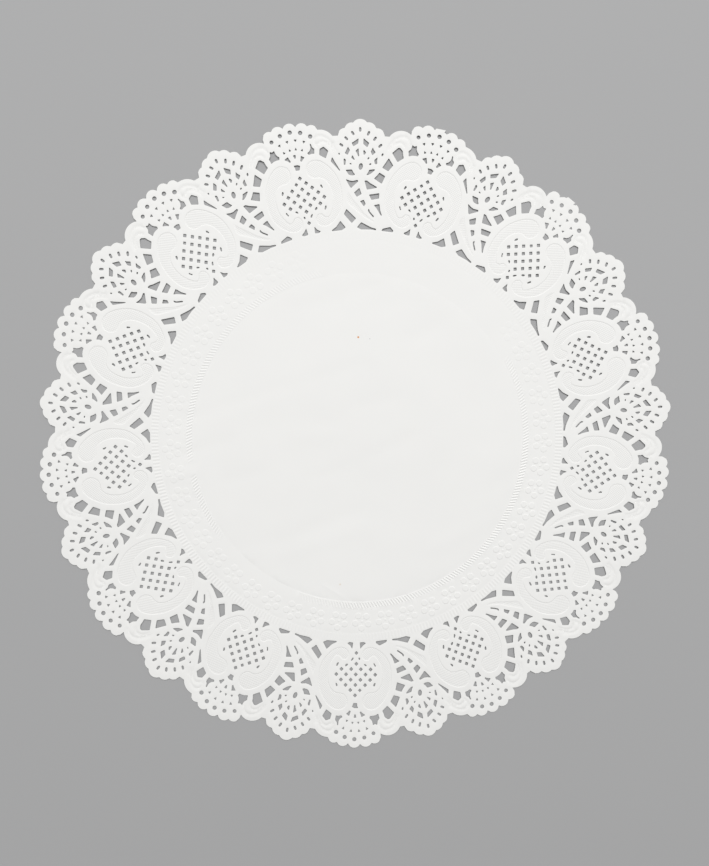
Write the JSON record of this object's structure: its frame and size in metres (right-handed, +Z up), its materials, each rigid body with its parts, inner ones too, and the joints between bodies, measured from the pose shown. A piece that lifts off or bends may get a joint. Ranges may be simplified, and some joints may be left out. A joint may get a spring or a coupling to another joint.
{
  "type": "round paper doily",
  "caption": "Round white paper doily with a scalloped edge, a plain middle, and a border of medallions, fans and flowers cut as open lace.",
  "frame": {"origin": "the middle of the underside, where the doily rests", "axes": "+Z up out of the embossed face, +Y towards the top of the doily as it is shown"},
  "size_m": [0.254, 0.2534, 0.001],
  "materials": {
    "paper": "matt bleached paper, embossed with a linen grain, fine ribs and soft scrolls"
  },
  "bodies": {
    "root": {"doily": "paper"}
  },
  "joints": []
}
